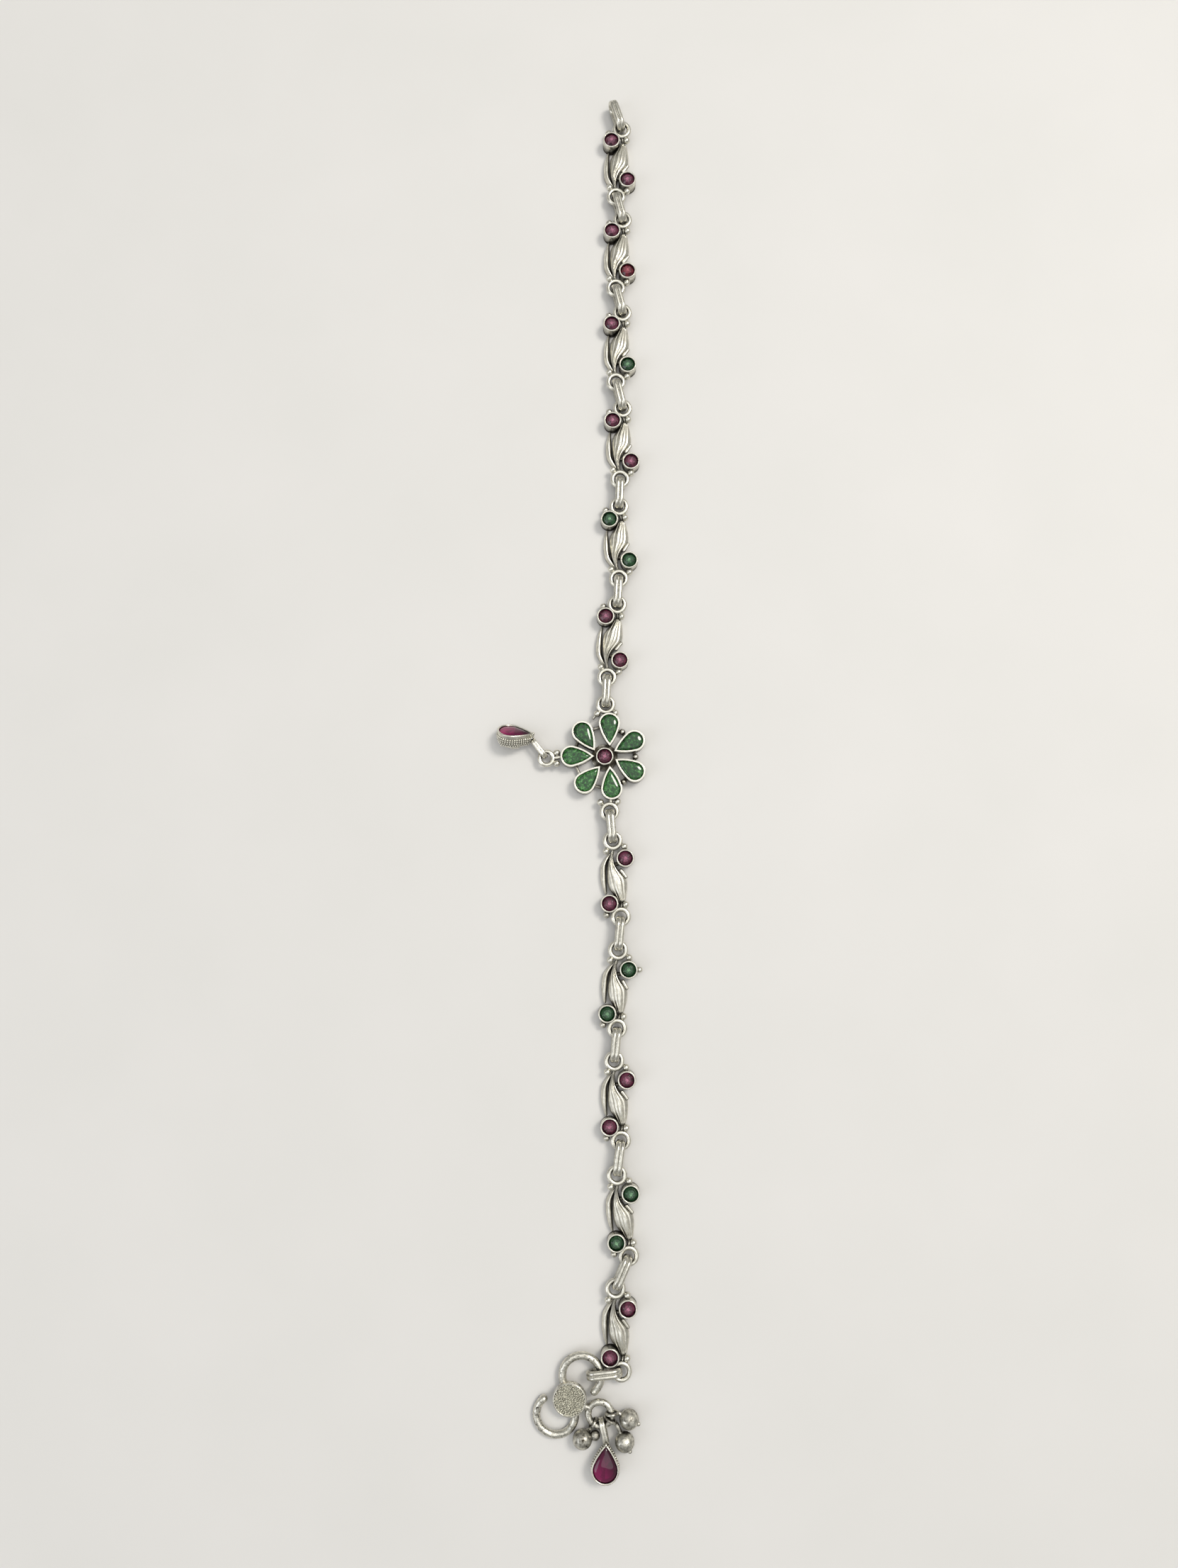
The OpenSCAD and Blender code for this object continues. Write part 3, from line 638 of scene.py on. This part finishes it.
def domed_pear(name, at, size, heights, tones, painted_glow_way=(0, 0)):
    """A pear stone of this width and length, each facet painted lighter or darker as reflected light,
    with painted glow brighter towards painted_glow_way.
    """
    (width, length), (bottom, girdle, top) = size, heights
    facets_round, rows_deep, row_shift, contrast = 11, 3, 2, 0.11
    outline = pear_outline(width, length, 0.36)
    count, heart = len(outline), -0.12 * length
    slopes = [math.radians(11 * j) for j in range(8)]
    rows = [(0.75, bottom), (0.98, girdle - 0.14)]
    rows += [(math.cos(a), girdle + (top - girdle) * math.sin(a)) for a in slopes]
    form = bmesh.new()
    tone = form.faces.layers.float.new("tone")
    chance = random.Random(name)
    facets = {}
    rings = []
    for share, z in rows:
        spots = [Vector((heart + (x - heart) * share, y * share, z)) for x, y in outline]
        rings.append([form.verts.new(at @ spot) for spot in spots])
    peak = form.verts.new(at @ Vector((heart, 0, top)))
    form.faces.new(rings[0][::-1])
    for j, ring in enumerate(rings):
        above = rings[j + 1] if j + 1 < len(rings) else None
        for k in range(count):
            n = (k + 1) % count
            corners = (above[n], above[k]) if above else (peak,)
            face = form.faces.new((ring[k], ring[n], *corners))
            # Three rows of facets, each a little further round than the last, each painted lighter or
            # darker as reflected light
            row = min(j // rows_deep, 2)
            sector = (k + row_shift * row) % count * facets_round // count
            own = facets.setdefault((row, sector), chance.uniform(-contrast, contrast))
            x, y = outline[k]
            # Painted glow: the stone turns brighter towards painted_glow_way
            bright = 0.5 + rows[j][0] * (x * painted_glow_way[0] + y * painted_glow_way[1])
            face[tone] = min(1, max(0, tones[0] + (tones[1] - tones[0]) * bright + own))
    bmesh.ops.recalc_face_normals(form, faces=form.faces)
    mesh = made_of(form, name)
    smooth(mesh, 80)
    return mesh


# Milky glass lets little light through: even green with paler veils, under a clear polish
milky_glass = cut_glass("milky_green_glass", "#071d08", "#194e1b", "#62a358", veil=0.5)
PETAL_SIZE, PETAL_HEIGHTS = (3.77, 5.98), (1.1, 2.22, 2.62)
# Middle of each petal in mm, its turn in degrees, and how light its glass is
PETALS = [
    (-6, 0, 180, 0.48), (-4.015, 4.459, 123, 0.34), (0.835, 5.942, 91, 0.4), (5.298, 2.817, 28, 0.36),
    (5.346, -2.724, -32, 0.42), (1.247, -5.869, -85, 0.48), (-3.611, -4.792, -133, 0.52),
]
for i, (x, y, turn, light) in enumerate(PETALS, 1):
    name = f"petal_stone_{i}"
    at = Matrix.Translation((x, y, 0)) @ Matrix.Rotation(math.radians(turn), 4, "Z")
    mesh = domed_pear(name, Matrix.Scale(MM, 4) @ at, PETAL_SIZE, PETAL_HEIGHTS, (light, light))
    show(f"{name}_cut", mesh, milky_glass, "petal_green", name)

# ------------------------------------------------------------------------------------------
# Pear drops. A boat-shaped silver cup with a smooth collar, rows of soldered beads under it
# and a double-wire bail holds a ruby glass pear. One lies on its flank, the other face up.

# Clear red glass, painted dark towards the tip and painted glowing where the light would come through
ruby_glass = cut_glass("ruby_cut_glass", "#10050a", "#5c0c38", "#a31f62")

# The drops are handled more than the chain, and rubbed bright all round
drop_silver = oxidised_silver("rubbed_drop_silver", 0.1, 0.26, 0.012, oxide_and_shade=1.1)

# Beads along the path, apart from those that would reach into the table
beaded, given = new_tree("beaded_rows", ["Bead", "Spacing", "Lowest"])
line = add(beaded, "GeometryNodeMeshToCurve", {"Mesh": given["Geometry"]}).outputs["Curve"]
line = add(
    beaded, "GeometryNodeResampleCurve", {"Curve": line, "Length": given["Spacing"]}, mode="LENGTH"
).outputs["Curve"]
half = add(beaded, "ShaderNodeMath", {0: given["Bead"], 1: 0.5}, operation="MULTIPLY").outputs[0]
bead = add(
    beaded, "GeometryNodeMeshIcoSphere", {"Radius": half, "Subdivisions": 2}
).outputs["Mesh"]
rows = add(
    beaded, "GeometryNodeInstanceOnPoints", {"Points": line, "Instance": bead}
).outputs["Instances"]
where = add(beaded, "GeometryNodeInputPosition").outputs[0]
height = add(beaded, "ShaderNodeSeparateXYZ", {0: where}).outputs["Z"]
sunk = add(
    beaded, "ShaderNodeMath", {0: height, 1: given["Lowest"]}, operation="LESS_THAN"
).outputs[0]
rows = add(
    beaded, "GeometryNodeDeleteGeometry", {"Geometry": rows, "Selection": sunk}, domain="INSTANCE"
).outputs["Geometry"]
end_tree(beaded, rows, given["Material"])


def wire_ring(points, thick):
    """A ring of round wire of this thickness through these points in mm."""
    around = bpy.data.curves.new("ring", "CURVE")
    around.dimensions = "3D"
    around.bevel_depth = thick / 2 * MM
    around.bevel_resolution = 3
    line = around.splines.new("POLY")
    line.use_cyclic_u = True
    line.points.add(len(points) - 1)
    for knot, point in zip(line.points, points):
        knot.co = (*(Vector(point) * MM), 1)
    bent = bpy.data.objects.new("ring", around)
    scene.collection.objects.link(bent)
    mesh = baked(bent)
    bpy.data.objects.remove(bent)
    form = bmesh.new()
    form.from_mesh(mesh)
    bmesh.ops.recalc_face_normals(form, faces=form.faces)
    form.to_mesh(mesh)
    form.free()
    smooth(mesh, 180)
    return mesh


SIDE_DROP = (
    Matrix.Translation((-12.75, 2.75, 2.01))
    @ Matrix.Rotation(math.radians(172), 4, "Z")
    @ Matrix.Rotation(math.radians(55), 4, "X")
)
END_DROP = Matrix.Translation((0.05, -115.95, 1.42)) @ Matrix.Rotation(math.radians(-92), 4, "Z")
DROP_SIZE, DROP_HEIGHTS = (4.7, 6.6), (0.25, 1.16, 1.78)
# From the drop's tip to the middle of its round end, and the height of its rim, in mm
DROP_MIDDLE, DROP_RIM = 4.25, 1.38
# Height of each row of beads over the cup's middle, and the cup's size there
BEAD_ROWS = [(0.58, 0.975), (0.16, 0.94), (-0.26, 0.895), (-0.68, 0.82)]
# Each drop's ruby is this dark and this bright, with painted glow that brightens it this way across the
# stone
DROPS = [
    ("side_drop", SIDE_DROP, (0.15, 0.95), (0.16, 0.0)),
    ("end_drop", END_DROP, (0.06, 0.7), (0.13, -0.2)),
]
for name, place, tones, painted_glow_way in DROPS:
    setting, stone = f"{name}_setting", f"{name}_stone"
    show(f"{setting}_made", merged(setting), drop_silver, "silver", setting)
    form = bmesh.new()
    for z, share in BEAD_ROWS:
        row = closed_path([
            place @ Vector((DROP_MIDDLE + x * share, y * share, z)) for x, y in pear_outline(*DROP_SIZE)
        ])
        sizes = {"Bead": 0.42 * MM, "Spacing": 0.43 * MM, "Lowest": 0.21 * MM}
        form.from_mesh(grown(row, beaded, drop_silver, sizes))
    rows = made_of(form, "rows")
    smooth(rows, 180)
    show(f"{name}_beads", rows, drop_silver, "silver")
    # The cup's rim, made with as few sides as the cup, is rubbed round over the stone
    lip = [
        place @ Vector((DROP_MIDDLE + x, y, DROP_RIM))
        for x, y in pear_outline(*DROP_SIZE, 0.15, 14, 3)
    ]
    show(f"{name}_rubbed_rim", wire_ring(lip, 0.34), drop_silver, "silver")
    at = Matrix.Scale(MM, 4) @ place @ Matrix.Translation((DROP_MIDDLE, 0, 0))
    mesh = domed_pear(stone, at, DROP_SIZE, DROP_HEIGHTS, tones, painted_glow_way)
    show(f"{stone}_cut", mesh, ruby_glass, "ruby", stone)

# ------------------------------------------------------------------------------------------
# S-hook. Thick silver wire hammered and bent to an S, with a disc soldered over its middle
# and a ring for the drops; the disc is covered in fine granules inside a plain wire rim.

# Hammered wire: dents of about 0.9 mm whose bottoms stay dark
hammered_silver = oxidised_silver(
    "hammered_silver_wire", 0.12, 0.24, 0.02, dents=0.85, notches=0.7
)
show("s_hook_hammered", merged("s_hook"), hammered_silver, "silver", "s_hook")

# The hook leans a little towards its drops
AT_HOOK = Matrix.Translation((-6, -109.1, 1.22)) @ Matrix.Rotation(
    math.radians(4.6), 4, Vector((0.637, -0.771, 0))
)
# Granules strewn over a face, no two nearer than a set distance
granules, given = new_tree("granulation", ["Granule", "Apart"])
spots = add(
    granules, "GeometryNodeDistributePointsOnFaces",
    {"Mesh": given["Geometry"], "Distance Min": given["Apart"], "Density Max": 2e8, "Seed": 7},
    distribute_method="POISSON",
).outputs["Points"]
half = add(
    granules, "ShaderNodeMath", {0: given["Granule"], 1: 0.5}, operation="MULTIPLY"
).outputs[0]
grain = add(
    granules, "GeometryNodeMeshIcoSphere", {"Radius": half, "Subdivisions": 2}
).outputs["Mesh"]
size = add(
    granules, "FunctionNodeRandomValue", {2: 0.75, 3: 1.2, "Seed": 3}, data_type="FLOAT"
).outputs[1]
field = add(
    granules, "GeometryNodeInstanceOnPoints", {"Points": spots, "Instance": grain, "Scale": size}
).outputs["Instances"]
bed = add(granules, "GeometryNodeJoinGeometry")
granules.links.new(given["Geometry"], bed.inputs["Geometry"])
granules.links.new(field, bed.inputs["Geometry"])
end_tree(granules, bed.outputs["Geometry"], given["Material"])

# The granulated face of the disc and its rim, with their heights over the hook's middle
FACE_RADIUS, FACE_HEIGHT, RIM_RADIUS, RIM_HEIGHT = 2.5, 1.28, 2.68, 1.25
form = bmesh.new()
bmesh.ops.create_circle(form, cap_ends=True, segments=48, radius=FACE_RADIUS * MM)
form.transform(Matrix.Translation((0, 0, FACE_HEIGHT * MM)))
face = made_of(form, "disc_face")
# Granules keep a pale, matt skin
granule_silver = oxidised_silver(
    "fused_silver_granules", 0.14, 0.4, 0.006, oxide_and_shade=1.2, bright="#cfccba"
)
field = grown(face, granules, granule_silver, {"Granule": 0.36 * MM, "Apart": 0.27 * MM})
field.transform(Matrix.Scale(MM, 4) @ AT_HOOK @ Matrix.Scale(1 / MM, 4))
show("hook_granulation", field, granule_silver, "silver")

rim = [
    AT_HOOK @ Vector((RIM_RADIUS * math.cos(a), RIM_RADIUS * math.sin(a), RIM_HEIGHT))
    for a in (2 * math.pi * k / 64 for k in range(64))
]
show("hook_disc_rim", wire_ring(rim, 0.28), drawn_silver, "silver")

# ------------------------------------------------------------------------------------------
# Ball drops. Three burnished silver balls, each with a loop of wire round the hook's lower
# ring and a soldered bead.

# The balls are lumpy and only half rubbed clean
burnished_silver = oxidised_silver(
    "half_burnished_silver", 0.42, 0.28, 0.03, mottle=2.8, dents=1.2
)
for i in range(1, 4):
    name = f"ball_drop_{i}"
    show(f"{name}_burnished", merged(name), burnished_silver, "silver", name)
